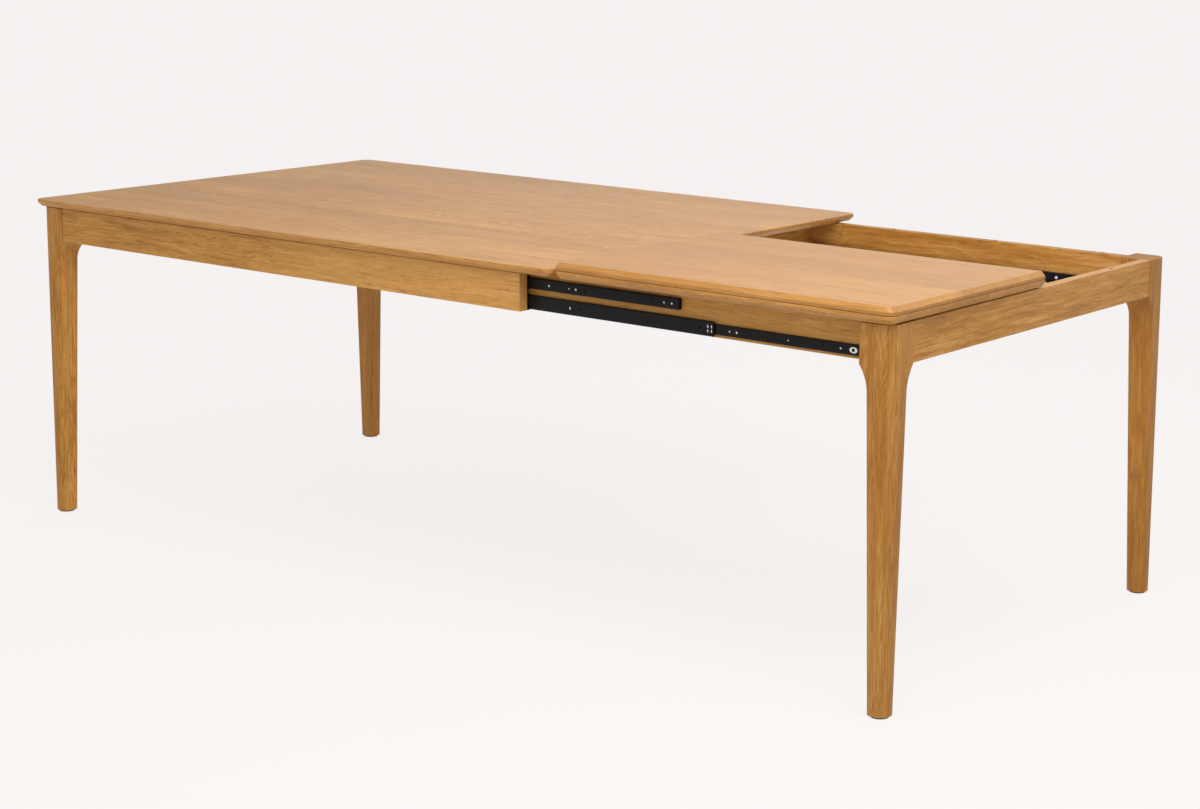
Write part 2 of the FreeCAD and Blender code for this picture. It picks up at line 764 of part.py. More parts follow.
pin_z = table_height - top_lip / 2
along_x = vec(1, 0, 0)
pins = []
pin_holes = []
top_holes = []
for place in locating_pin_places:
    pin_start = vec(leaf_left - locating_pin_stand_out, -place, pin_z)
    pin_length = locating_pin_stand_out + locating_pin_depth
    pins.append(rod(pin_start, along_x, locating_pin_radius, pin_length))
    pin_holes.append(rod(pin_start, along_x, locating_pin_radius + fit, pin_length))
    hole_depth = locating_pin_stand_out + 3
    hole_start = vec(main_right - hole_depth, -place, pin_z)
    socket = rod(hole_start, along_x, locating_pin_radius + pin_fit, hole_depth)
    top_holes += [socket, mirrored(socket)]
keep("main_top", main_top.cut(Part.makeCompound(top_holes)).cut(cleat_holes))
front_half = front_half.cut(Part.makeCompound(pin_holes))

edge_y = -seam_gap / 2
barrel_clear = hinge_barrel_radius + hinge_barrel_clearance
front_plates = []
back_plates = []
hinge_pins = []
hinge_heads = []
plate_low = fold_axis_z - hinge_plate_reach
for place in hinge_places:
    hinge_x0 = leaf_left + place - hinge_length / 2
    hinge_x1 = hinge_x0 + hinge_length
    knuckle = hinge_length * knuckle_share
    axis_start = vec(hinge_x0, 0, fold_axis_z)
    plate_high = fold_axis_z - hinge_barrel_radius + 0.4
    front_half = front_half.cut(rod(axis_start, along_x, barrel_clear, hinge_length))
    front_half = front_half.cut(
        box(hinge_x0, hinge_x1, edge_y - hinge_plate, edge_y, plate_low, plate_high)
    )
    plate = box(hinge_x0, hinge_x1, edge_y - hinge_plate, edge_y, plate_low, fold_axis_z - barrel_clear)
    bore = rod(axis_start, along_x, hinge_pin_radius + fit, hinge_length)
    hinge_pins.append(rod(axis_start, along_x, hinge_pin_radius, hinge_length))
    front_plate = plate
    for knuckle_x in (hinge_x0, hinge_x1 - knuckle):
        web = box(knuckle_x, knuckle_x + knuckle, edge_y - hinge_plate, edge_y, plate_low, fold_axis_z - 1.5)
        turn = rod(vec(knuckle_x, 0, fold_axis_z), along_x, hinge_barrel_radius, knuckle)
        front_plate = front_plate.fuse([web, turn])
    middle_x = hinge_x0 + knuckle + knuckle_clearance
    middle_length = hinge_length - 2 * knuckle - 2 * knuckle_clearance
    web = box(middle_x, middle_x + middle_length, edge_y - hinge_plate, edge_y, plate_low, fold_axis_z - 1.5)
    turn = rod(vec(middle_x, 0, fold_axis_z), along_x, hinge_barrel_radius, middle_length)
    back_plate = plate.fuse([web, turn])
    head_z = (plate_low + fold_axis_z - barrel_clear) / 2
    for side in (-1, 1):
        hinge_heads.append(vec(leaf_left + place + side * hinge_length / 3, edge_y, head_z))
    front_plates.append(front_plate.cut(bore))
    back_plates.append(back_plate.cut(bore))

hinge_screw_length = 14.0
hinge_screw_head = 2.6


def hinge_screw(head, grow=0.0):
    """Flat-head screw, its head flush with the hinge plate."""
    cone = Part.makeCone(hinge_screw_head + grow, 1.4 + grow, hinge_plate, head, to_front)
    return cone.fuse(rod(head, to_front, 1.4 + grow, hinge_screw_length))


hinge_screws = [hinge_screw(p) for p in hinge_heads]
hinge_screw_holes = Part.makeCompound([hinge_screw(p, fit) for p in hinge_heads])
front_half = front_half.cut(hinge_screw_holes)
front_plates = [p.cut(hinge_screw_holes) for p in front_plates]
back_plates = [p.cut(hinge_screw_holes) for p in back_plates]


def folded(shape):
    """A piece of the front half, as the back half carries it when folded over."""
    return shape.mirror(vec(0, 0, fold_axis_z), vec(0, 0, 1))


keep("leaf_front_half", front_half)
keep("leaf_back_half", folded(front_half))
keep("front_hinge_plates", *front_plates)
keep("back_hinge_plates", *[folded(p) for p in back_plates])
keep("leaf_hinge_pins", *hinge_pins)
keep("front_hinge_screws", *hinge_screws)
keep("back_hinge_screws", *[folded(s) for s in hinge_screws])
keep("front_locating_pins", *pins)
keep("back_locating_pins", *[folded(p) for p in pins])

# ---------------------------------------------------------------- export
os.makedirs("parts", exist_ok=True)
for node_name, shape in nodes.items():
    shape.exportStep("parts/%s.step" % node_name)
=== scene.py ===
import json
import math

import bmesh
import bpy
from mathutils import Matrix, Vector


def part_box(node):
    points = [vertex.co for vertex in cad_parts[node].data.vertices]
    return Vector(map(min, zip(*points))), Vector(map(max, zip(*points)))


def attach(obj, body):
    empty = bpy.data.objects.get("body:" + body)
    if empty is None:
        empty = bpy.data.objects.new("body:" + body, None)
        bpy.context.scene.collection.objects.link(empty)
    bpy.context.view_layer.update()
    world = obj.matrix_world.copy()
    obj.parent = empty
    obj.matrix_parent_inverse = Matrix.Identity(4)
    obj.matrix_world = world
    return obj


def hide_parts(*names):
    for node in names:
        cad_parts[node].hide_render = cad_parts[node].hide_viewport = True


# Extending dining table in oak. The frame holds every piece at its real size; this script gives
# each piece its finish, and models the small fittings that need more shape than a plain solid.

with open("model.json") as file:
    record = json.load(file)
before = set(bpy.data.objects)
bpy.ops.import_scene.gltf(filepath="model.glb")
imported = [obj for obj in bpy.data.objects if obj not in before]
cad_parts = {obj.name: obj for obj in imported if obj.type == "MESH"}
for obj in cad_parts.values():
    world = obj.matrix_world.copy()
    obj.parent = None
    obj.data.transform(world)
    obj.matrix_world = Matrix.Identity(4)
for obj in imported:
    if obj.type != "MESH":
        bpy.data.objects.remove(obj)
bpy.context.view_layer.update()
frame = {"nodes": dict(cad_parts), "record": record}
nodes = frame["nodes"]
scene = bpy.context.scene
scene.view_settings.view_transform = "Standard"


# ---------------------------------------------------------------- material building blocks
NOISE_MIDDLE = 0.5
JOINT_WIDTH = 0.0009


class Recipe:
    """The node tree of one finish, put together step by step."""

    def __init__(self, name):
        self.material = bpy.data.materials.new(name)
        self.material.use_nodes = True
        self.tree = self.material.node_tree
        self.shader = self.tree.nodes["Principled BSDF"]

    def node(self, kind, inputs=None, **settings):
        step = self.tree.nodes.new(kind)
        for key, value in settings.items():
            setattr(step, key, value)
        for key, value in (inputs or {}).items():
            self.feed(step.inputs[key], value)
        return step

    def feed(self, socket, value):
        if isinstance(value, bpy.types.NodeSocket):
            self.tree.links.new(value, socket)
        else:
            socket.default_value = value

    def place(self):
        """The place on a piece, in the piece's own coordinates."""
        return self.node("ShaderNodeTexCoord").outputs["Object"]

    def calc(self, operation, first, second=0.0):
        return self.node("ShaderNodeMath", {0: first, 1: second}, operation=operation).outputs[0]

    def add(self, first, second):
        return self.calc("ADD", first, second)

    def subtract(self, first, second):
        return self.calc("SUBTRACT", first, second)

    def multiply(self, first, second):
        return self.calc("MULTIPLY", first, second)

    def between(self, value, low, high, out_low=0.0, out_high=1.0):
        """Smoothly maps value from the range low..high to out_low..out_high."""
        step = self.node(
            "ShaderNodeMapRange",
            {0: value, 1: low, 2: high, 3: out_low, 4: out_high},
            interpolation_type="SMOOTHSTEP",
        )
        return step.outputs[0]

    def blend(self, share, first, second):
        """Mixes two colours, with share of the second."""
        step = self.node("ShaderNodeMix", data_type="RGBA", blend_type="MIX")
        for socket, value in ((0, share), (6, first), (7, second)):
            self.feed(step.inputs[socket], value)
        return step.outputs[2]

    def stain(self, color, field, stain):
        """Lays a stain, given as (colour, share), over color where field is high."""
        tone, share = stain
        return self.blend(self.multiply(field, share), color, tone)

    def ramp(self, value, stops):
        step = self.node("ShaderNodeValToRGB", {0: value})
        elements = step.color_ramp.elements
        while len(elements) < len(stops):
            elements.new(0.5)
        for element, (place, color) in zip(elements, stops):
            element.position = place
            element.color = (*color, 1.0)
        return step.outputs[0]

    def clouded(self, cloud, dark, light):
        """Drifts between two colours with a noise field."""
        return self.ramp(cloud, [(0.3, dark), (0.7, light)])

    def scaled(self, vector, factors):
        step = self.node("ShaderNodeVectorMath", {0: vector, 1: factors}, operation="MULTIPLY")
        return step.outputs[0]

    def noise(self, vector, scale=1.0, detail=2.0, roughness=0.5):
        inputs = {"Vector": vector, "Scale": scale, "Detail": detail, "Roughness": roughness}
        return self.node("ShaderNodeTexNoise", inputs).outputs[0]

    def grain(self, vector, along, across, detail=2.0, roughness=0.5):
        """Noise drawn out along X; along and across say how often it changes in a metre."""
        drawn = self.scaled(vector, (along, across, across))
        return self.noise(drawn, detail=detail, roughness=roughness)

    def swing(self, vector, along, across, reach, detail=2.0):
        """Drawn-out noise about zero, as wide as reach from its lowest to its highest."""
        field = self.grain(vector, along, across, detail)
        return self.multiply(self.subtract(field, NOISE_MIDDLE), reach)

    def cut(self, line, length, randomness):
        """Cuts a line at random into pieces about one unit long, which stands for length metres.

        Gives the middle of the piece at hand, three chances of its own, and 1 on its joints.
        """
        kind = "ShaderNodeTexVoronoi"
        cells = {"W": line, "Scale": 1.0, "Randomness": randomness}
        cell = self.node(kind, cells, voronoi_dimensions="1D", feature="F1")
        edge = self.node(kind, cells, voronoi_dimensions="1D", feature="DISTANCE_TO_EDGE")
        chances = self.node("ShaderNodeSeparateColor", {0: cell.outputs["Color"]}).outputs
        from_joint = self.multiply(edge.outputs[0], length)
        joint = self.between(from_joint, 0.0, JOINT_WIDTH, 1.0, 0.0)
        return cell.outputs["W"], chances, joint

    def bump(self, height, distance, strength):
        inputs = {"Strength": strength, "Distance": distance, "Height": height}
        return self.node("ShaderNodeBump", inputs).outputs[0]

    def finish(self, **inputs):
        for key, value in inputs.items():
            self.feed(self.shader.inputs[key.replace("_", " ")], value)
        return self.material


# ---------------------------------------------------------------- oak
OAK_DEEP = (0.240, 0.094, 0.008)
OAK_WARM = (0.425, 0.187, 0.025)
OAK_PALE = (0.580, 0.312, 0.092)
PALE_TIMBER = (0.660, 0.355, 0.105, 1.0)
DEEP_TIMBER = (0.250, 0.092, 0.012, 1.0)
# Stains over the timber's own colour, each with the share it has where it is strongest.
STRIP_STAIN = ((0.40, 0.20, 0.075, 1.0), 0.12)
FLECK_STAIN = ((0.19, 0.068, 0.010, 1.0), 0.42)
PORE_STAIN = ((0.10, 0.036, 0.010, 1.0), 0.55)
KNOT_STAIN = ((0.085, 0.032, 0.011, 1.0), 0.72)
JOINT_STAIN = ((0.13, 0.052, 0.015, 1.0), 0.22)
END_GRAIN_STAIN = ((0.15, 0.062, 0.016, 1.0), 0.22)

STRIP_RANDOMNESS = 0.55
BOARD_RANDOMNESS = 0.7
BOARD_STAGGER = 7.0  # board lengths by which neighbouring strips may be out of step
LOG_REACH = (11.0, 7.0, 5.0)  # how far apart in the log strips may lie: along, across and deep
HEART_DRIFT = 0.11  # the width over which the heart line strays, both sideways and in depth
HEART_DEPTH = 0.012  # the least depth of the heart line in a piece, before it strays
PALE_SPAN = (-1.05, 0.30)  # the stretch along a piece over which pale turns to pale_end
STRIP_TONES = (0.94, 1.06)

# A ring's width, in lean and in good years; then parts of a ring, from 0 at its start to 1.
RING_WIDTHS = (0.0042 * 0.93, 0.0042 * 1.08)
LATE_WOOD_RISE, LATE_WOOD_FALL = (0.0, 0.62), (0.72, 1.0)
OPEN_PORES_END = 0.35
LATE_WOOD_SHARE = 0.24
TINT_BASE = 0.37
# Where marks begin and are full, in the noise or the distance that they are drawn from.
YEAR_RANGE = (0.3, 0.7)
FLECK_RANGE = (0.56, 0.68)
PORE_RANGE = (0.60, 0.68)
KNOT_RANGE = (0.012, 0.040)
END_GRAIN_RANGE = (0.80, 0.97)
PORE_DEPTH, RELIEF_STRENGTH = 0.00012, 0.55
# How far fibres stand out and knots sink in, against a pore's depth; and what streaks and end
# grain add to the roughness.
FIBRE_RELIEF, KNOT_RELIEF = 0.5, 0.6
STREAK_ROUGHNESS, END_GRAIN_ROUGHNESS = 0.16, 0.12
GRAIN_TURNS = {
    "X": (0.0, 0.0, 0.0),
    "Y": (0.0, 0.0, -math.pi / 2),
    "Z": (0.0, math.pi / 2, 0.0),
}
END_AXES = {"X": (1.0, 0.0, 0.0), "Y": (0.0, 1.0, 0.0), "Z": (0.0, 0.0, 1.0)}


def oak(
    name, grain, shift, stave=0.0, board=0.0, pale=0.0, pale_end=None, deep=0.0,
    heart=0.045, rough=0.46, gloss=0.21, lively=0.6, bold=1.0,
):
    """Oiled oak. Grain runs along one axis; stave is a glued strip's width and board its length.

    pale and deep are the shares of lighter sapwood and of a darker tone in it: heartwood, and on
    the back legs also painted shade. With pale_end the sapwood grows from pale to that share along
    the piece. heart is how far off the heart of the log a strip may lie. lively is how strongly the
    grain is mottled, and bold how strongly it is drawn altogether.
    """
    r = Recipe(name)
    place = r.node("ShaderNodeTexCoord").outputs
    turned = r.node("ShaderNodeMapping", {0: place["Object"], 1: shift, 2: GRAIN_TURNS[grain]})
    along, across, depth = r.node("ShaderNodeSeparateXYZ", {0: turned.outputs[0]}).outputs
    if pale_end is not None:
        pale = r.between(r.subtract(along, shift[0]), *PALE_SPAN, pale, pale_end)

    # Glued strips: each has its own tone, and its own place in the log.
    joint = 0.0
    chance = (0.5, 0.5, 0.5)
    local = across
    if stave:
        strips = r.calc("DIVIDE", across, stave)
        middle, chance, joint = r.cut(strips, stave, STRIP_RANDOMNESS)
        local = r.multiply(r.subtract(strips, middle), stave)
    if board:
        boards = r.add(r.calc("DIVIDE", along, board), r.multiply(chance[0], BOARD_STAGGER))
        _, own_chance, end_joint = r.cut(boards, board, BOARD_RANDOMNESS)
        joint = r.calc("MAXIMUM", joint, end_joint)
        chance = [r.calc("FRACT", r.add(part, old)) for part, old in zip(own_chance, chance)]

    # Growth rings: distance from a heart line that wanders along the log.
    places = {
        axis: r.add(part, r.multiply(luck, reach))
        for axis, (part, luck, reach) in enumerate(zip((along, across, depth), chance, LOG_REACH))
    }
    own = r.node("ShaderNodeCombineXYZ", places).outputs[0]
    off_side = r.multiply(r.subtract(chance[1], 0.5), HEART_DRIFT)
    side = r.add(local, r.add(off_side, r.swing(own, 7.0, 26.0, reach=0.006)))
    wander = r.swing(own, 1.6, 5.0, reach=HEART_DRIFT, detail=3.0)
    below = r.add(r.add(r.multiply(chance[2], heart), HEART_DEPTH), r.add(depth, wander))
    radius = r.calc("SQRT", r.add(r.multiply(side, side), r.multiply(below, below)))
    years = r.grain(own, 0.4, 14.0, detail=1.0)
    width = r.between(years, *YEAR_RANGE, *RING_WIDTHS)
    rings = r.calc("FRACT", r.calc("DIVIDE", radius, width))
    rise = r.between(rings, *LATE_WOOD_RISE)
    late = r.multiply(rise, r.between(rings, *LATE_WOOD_FALL, 1.0, 0.0))

    # Fibres, streaks, pores and the odd pin knot, all following the same wavy grain.
    swirl = r.swing(own, 4.5, 15.0, reach=0.030)
    sway = r.add(swirl, r.swing(own, 19.0, 40.0, reach=0.007))
    wave = r.node("ShaderNodeCombineXYZ", {1: sway, 2: sway}).outputs[0]
    wavy = r.node("ShaderNodeVectorMath", {0: own, 1: wave}, operation="ADD").outputs[0]
    fibre = r.grain(wavy, 20.0, 620.0, detail=3.0, roughness=0.60)
    figure = r.grain(wavy, 9.5, 210.0, detail=4.0, roughness=0.62)
    mottle = r.grain(wavy, 5.5, 58.0, detail=4.0, roughness=0.66)
    streak = r.grain(wavy, 3.6, 85.0, detail=3.0, roughness=0.55)
    cloud = r.grain(own, 2.0, 11.0)
    flecks = r.between(r.grain(wavy, 12.0, 300.0, detail=3.0, roughness=0.60), *FLECK_RANGE)
    pores = r.between(r.grain(wavy, 55.0, 1300.0, detail=1.0), *PORE_RANGE)
    pores = r.multiply(pores, r.between(rings, OPEN_PORES_END, 0.0))
    spots = {"Vector": r.scaled(own, (2.1, 9.0, 9.0)), "Scale": 1.0, "Randomness": 1.0}
    spot = r.node("ShaderNodeTexVoronoi", spots, feature="F1")
    knots = r.between(spot.outputs["Distance"], *KNOT_RANGE, 1.0, 0.0)

    # The grain's tint picks the timber's colour, which is then stained.
    tint = r.add(r.multiply(late, LATE_WOOD_SHARE), TINT_BASE)
    shares = ((fibre, 0.60), (figure, 1.30), (mottle, lively), (streak, 0.85), (cloud, 0.70))
    for field, share in shares:
        tint = r.add(tint, r.multiply(r.subtract(field, NOISE_MIDDLE), share * bold))
    color = r.ramp(tint, [(0.05, OAK_DEEP), (0.50, OAK_WARM), (0.95, OAK_PALE)])
    color = r.blend(deep, r.blend(pale, color, PALE_TIMBER), DEEP_TIMBER)
    tone = r.between(chance[2], 0.0, 1.0, *STRIP_TONES)
    color = r.node("ShaderNodeVectorMath", {0: color, 3: tone}, operation="SCALE").outputs[0]
    color = r.stain(color, chance[0], STRIP_STAIN)
    color = r.stain(color, flecks, FLECK_STAIN)
    color = r.stain(color, pores, PORE_STAIN)
    color = r.stain(color, knots, KNOT_STAIN)
    if stave or board:
        color = r.stain(color, joint, JOINT_STAIN)

    # End grain drinks more oil and turns darker.
    sides = {0: place["Normal"], 1: END_AXES[grain]}
    facing_end = r.node("ShaderNodeVectorMath", sides, operation="DOT_PRODUCT").outputs["Value"]
    end_grain = r.between(r.calc("ABSOLUTE", facing_end), *END_GRAIN_RANGE)
    color = r.stain(color, end_grain, END_GRAIN_STAIN)

    hollows = r.add(pores, r.multiply(knots, KNOT_RELIEF))
    relief = r.subtract(r.multiply(fibre, FIBRE_RELIEF), hollows)
    shine = r.multiply(r.subtract(streak, NOISE_MIDDLE), STREAK_ROUGHNESS)
    shine = r.add(r.add(shine, rough), r.multiply(end_grain, END_GRAIN_ROUGHNESS))
    r.shader.inputs["Specular IOR Level"].default_value = gloss
    normal = r.bump(relief, PORE_DEPTH, RELIEF_STRENGTH)
    return r.finish(Base_Color=color, Roughness=shine, Normal=normal)


# ---------------------------------------------------------------- metal, plastic and rubber
def black_paint(name):
    """Black enamel baked on steel: even, satin, with a faint orange-peel."""
    r = Recipe(name)
    place = r.place()
    peel = r.noise(place, scale=900.0)
    haze = r.noise(place, scale=24.0, detail=3.0)
    color = r.clouded(haze, (0.0048, 0.0046, 0.0043), (0.0085, 0.0080, 0.0075))
    r.shader.inputs["Specular IOR Level"].default_value = 0.14
    shine = r.between(haze, 0.3, 0.7, 0.30, 0.42)
    normal = r.bump(peel, distance=0.00004, strength=0.4)
    return r.finish(Base_Color=color, Roughness=shine, Normal=normal)


def bare_metal(name, dark, light, spangle, lines, shine):
    """Metal with a cloudy spangle and fine drawn lines.

    lines says how often the drawn lines change in a metre, along X and across it. shine makes the
    roughness from the recipe, the spangle's cloud and the lines.
    """
    r = Recipe(name)
    place = r.place()
    drawn = r.grain(place, *lines)
    cloud = r.noise(place, scale=spangle, detail=3.0)
    return r.finish(
        Base_Color=r.clouded(cloud, dark, light),
        Metallic=1.0,
        Roughness=shine(r, cloud, drawn),
        Normal=r.bump(drawn, distance=0.00002, strength=0.3),
    )


def zinc_shine(r, cloud, drawn):
    """Roughness of zinc: the spangle sets it, and the drawn lines add to it."""
    return r.add(r.between(cloud, 0.3, 0.7, 0.20, 0.32), r.multiply(drawn, 0.08))


def brass_shine(r, cloud, drawn):
    """Roughness of brass, which follows the drawn lines alone."""
    return r.between(drawn, 0.2, 0.8, 0.24, 0.40)


def moulded(name, dark, light, rough):
    """Moulded plastic or rubber: a fine spark-eroded grain and slight mottling."""
    r = Recipe(name)
    place = r.place()
    texture = r.noise(place, scale=2200.0)
    color = r.clouded(r.noise(place, scale=60.0, detail=3.0), dark, light)
    shine = r.between(texture, 0.3, 0.7, rough - 0.06, rough + 0.06)
    normal = r.bump(texture, distance=0.00005, strength=0.5)
    return r.finish(Base_Color=color, Roughness=shine, Normal=normal)


black_steel = black_paint("black_steel")
zinc = bare_metal(
    "zinc_steel", (0.58, 0.57, 0.55), (0.78, 0.78, 0.77), 130.0, (40.0, 900.0), zinc_shine
)
brass = bare_metal(
    "brass", (0.56, 0.38, 0.15), (0.74, 0.54, 0.25), 90.0, (30.0, 700.0), brass_shine
)
glide_plastic = moulded("glide_plastic", (0.012, 0.010, 0.009), (0.020, 0.017, 0.015), 0.68)
pin_plastic = moulded("pin_plastic", (0.58, 0.52, 0.42), (0.68, 0.62, 0.52), 0.42)
pad_rubber = moulded("pad_rubber", (0.34, 0.19, 0.08), (0.42, 0.25, 0.12), 0.55)

# Every board is cut from its own place in the log.
TABLE_TOP = {"stave": 0.118, "gloss": 0.45, "lively": 0.34}
LEG = {"stave": 0.047, "heart": 0.06, "lively": 0.45}
top_oak = oak("oak_main_top", "X", (3.1, 0.031, 0.4), pale=0.07, bold=0.82, **TABLE_TOP)
leaf_front_oak = oak(
    "oak_leaf_front", "X", (7.7, 0.047, 1.3), pale=0.08, deep=0.10, bold=0.82, **TABLE_TOP
)
leaf_back_oak = oak(
    "oak_leaf_back", "X", (12.9, 0.012, 2.2), pale=0.12, deep=0.27, bold=0.78, **TABLE_TOP
)
front_apron_oak = oak(
    "oak_front_apron", "X", (1.15, 2.0, 0.0), pale=0.08, pale_end=0.54, deep=0.02, lively=0.75
)
back_apron_oak = oak("oak_back_apron", "X", (5.9, 4.0, 0.3), board=0.62, pale=0.3, lively=1.1)
left_end_oak = oak("oak_left_end_apron", "Y", (9.2, 1.1, 0.7), board=0.70, pale=0.1, lively=0.8)
right_end_oak = oak("oak_right_end_apron", "Y", (2.3, 6.2, 0.2), pale=0.03)
front_rail_oak = oak(
    "oak_front_rail", "X", (4.4, 7.3, 0.9), board=0.75, pale=0.34, rough=0.52, lively=0.9
)
back_rail_oak = oak(
    "oak_back_rail", "X", (8.8, 8.1, 0.6), board=0.80, deep=0.2, rough=0.52, lively=0.9
)
inner_oak = oak("oak_inner", "Y", (6.6, 3.3, 0.1), board=0.66, rough=0.58)
cleat_oak = oak("oak_cleats", "X", (2.6, 9.3, 0.5), rough=0.58)

FINISHES = {
    "oak_top": top_oak,
    "oak_frame": front_apron_oak,
    "oak_inner": inner_oak,
    "black_steel": black_steel,
    "zinc_steel": zinc,
    "brass": brass,
    "dark_plastic": glide_plastic,
    "locating_plastic": pin_plastic,
    "pad_rubber": pad_rubber,
}
OWN_FINISH = {
    "leaf_front_half": leaf_front_oak,
    "leaf_back_half": leaf_back_oak,
    "back_apron": back_apron_oak,
    "left_end_apron": left_end_oak,
    "right_end_apron": right_end_oak,
    "front_inner_rail": front_rail_oak,
    "back_inner_rail": back_rail_oak,
    "side_top_cleats": cleat_oak,
    "front_left_leg": oak("oak_front_left_leg", "Z", (0.3, 1.7, 0.02), deep=0.04, **LEG),
    # Painted shade: the back left leg's large deep share darkens it as if it stood in the shade
    # under the table.
    "back_left_leg": oak("oak_back_left_leg", "Z", (5.3, 2.9, 0.06), deep=0.48, **LEG),
    "front_right_leg": oak("oak_front_right_leg", "Z", (8.1, 4.2, 0.03), deep=0.25, **LEG),
    # Painted shade: the back right leg's large deep share darkens it as if it stood in the shade
    # under the table.
    "back_right_leg": oak("oak_back_right_leg", "Z", (11.4, 5.8, 0.05), deep=0.42, **LEG),
}
slot_of = {part["node"]: part["material_slot"] for part in frame["record"]["subparts"]}
for name, node in nodes.items():
    node.data.materials.clear()
    node.data.materials.append(OWN_FINISH.get(name, FINISHES[slot_of[name]]))


# ---------------------------------------------------------------- making the small fittings
MM = 0.001
SAME_PLACE = 0.001 * MM
SHEET_WELD = 0.0001 * MM
SHARP_EDGE = 0.55  # radians from which an edge is drawn sharp
SLIDE_SHEET = 1.4 * MM
UPRIGHT_SHEET = Matrix.Rotation(math.pi / 2, 4, "X")  # lays a flat drawing upright, facing front


def add_piece(name, body, slot, mesh, *stands_for):
    """Closes a bmesh into one piece that rides on a body, in the finish of its slot."""
    for face in mesh.faces:
        face.smooth = True
    for edge in mesh.edges:
        edge.smooth = edge.calc_face_angle(0.0) < SHARP_EDGE
    data = bpy.data.meshes.new(name)
    mesh.to_mesh(data)
    mesh.free()
    data.materials.append(FINISHES[slot])
    piece = bpy.data.objects.new(name, data)
    scene.collection.objects.link(piece)
    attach(piece, body)
    if stands_for:
        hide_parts(*stands_for)


def turn_to_back(mesh):
    """Mirrors a front fitting across the table's middle."""
    bmesh.ops.scale(mesh, vec=(1.0, -1.0, 1.0), verts=mesh.verts)
    bmesh.ops.reverse_faces(mesh, faces=mesh.faces)


def drop_pattern(mesh, pattern, places):
    """Adds a copy of the pattern mesh at each place, and then frees the pattern."""
    data = bpy.data.meshes.new("pattern")
    pattern.to_mesh(data)
    pattern.free()
    for place in places:
        before = set(mesh.verts)
        mesh.from_mesh(data)
        fresh = [v for v in mesh.verts if v not in before]
        bmesh.ops.transform(mesh, matrix=place, verts=fresh)
    bpy.data.meshes.remove(data)


def facing(seat, direction, size=1.0):
    """Place of a fitting that stands on seat and points along direction."""
    turn = Vector(direction).to_track_quat("Z", "Y").to_matrix().to_4x4()
    return Matrix.Translation(seat) @ turn @ Matrix.Diagonal((size, size, size, 1.0))


def rim_of(geometry):
    return [part for part in geometry if isinstance(part, bmesh.types.BMEdge)]


def points_of(geometry):
    return [part for part in geometry if isinstance(part, bmesh.types.BMVert)]


def step_out(mesh, rim, scale=(1.0, 1.0, 1.0), shift=(0.0, 0.0, 0.0)):
    """Extrudes an open rim, then scales and shifts its new edge. Gives the new rim back."""
    grown = bmesh.ops.extrude_edge_only(mesh, edges=rim)["geom"]
    bmesh.ops.scale(mesh, vec=scale, verts=points_of(grown))
    bmesh.ops.translate(mesh, vec=shift, verts=points_of(grown))
    return rim_of(grown)


def fill_flat(mesh, edges, normal):
    """Fills a flat outline with triangles, and leaves the holes inside it open."""
    bmesh.ops.triangle_fill(
        mesh, use_beauty=True, use_dissolve=False, edges=edges, normal=normal
    )


def ease_edges(mesh, edges, offset, segments):
    bmesh.ops.bevel(
        mesh,
        geom=edges,
        offset=offset,
        segments=segments,
        profile=0.5,
        affect="EDGES",
        material=-1,
        clamp_overlap=True,
    )


def pressed_channel(low, high, level, roll, openings, sheet=SLIDE_SHEET, short=0.0):
    """Rolled steel channel: a flat web with oval openings, rolled edges and flanges behind it.

    It fills the box from low to high, but for the length short at its right end. openings lists
    (x, rise, half width, half height).
    """
    mesh = bmesh.new()
    front = low.y
    right = high.x - short
    web = high.z - low.z - 2 * roll
    centre = Matrix.Translation(((low.x + right) / 2, front, level))
    bmesh.ops.create_grid(
        mesh,
        x_segments=1,
        y_segments=1,
        size=0.5,
        matrix=centre @ UPRIGHT_SHEET @ Matrix.Diagonal((right - low.x, web, 1.0, 1.0)),
    )
    bmesh.ops.delete(mesh, geom=mesh.faces[:], context="FACES_ONLY")
    for x, rise, half_width, half_height in openings:
        bmesh.ops.create_circle(
            mesh,
            cap_ends=False,
            segments=20,
            radius=1.0,
            matrix=Matrix.Translation((x, front, level + rise))
            @ UPRIGHT_SHEET
            @ Matrix.Diagonal((half_width, half_height, 1.0, 1.0)),
        )
    fill_flat(mesh, mesh.edges[:], (0, -1, 0))
    for side in (-1, 1):
        border = level + side * web / 2
        edge = [e for e in mesh.edges if all(abs(v.co.z - border) < SAME_PLACE for v in e.verts)]
        swept = bmesh.ops.spin(
            mesh,
            geom=edge + list({v for e in edge for v in e.verts}),
            cent=(0.0, front + roll, border),
            axis=(1.0, 0.0, 0.0),
            angle=-side * math.pi / 2,
            steps=6,
            use_merge=False,
        )["geom_last"]
        step_out(mesh, rim_of(swept), shift=(0.0, high.y - low.y - roll, 0.0))
    bmesh.ops.remove_doubles(mesh, verts=mesh.verts, dist=SHEET_WELD)
    web_face = min(mesh.faces, key=lambda f: f.calc_center_median().y)
    bmesh.ops.recalc_face_normals(mesh, faces=mesh.faces)
    if web_face.normal.y > 0:
        bmesh.ops.reverse_faces(mesh, faces=mesh.faces)
    bmesh.ops.solidify(mesh, geom=mesh.faces[:], thickness=sheet)
    return mesh


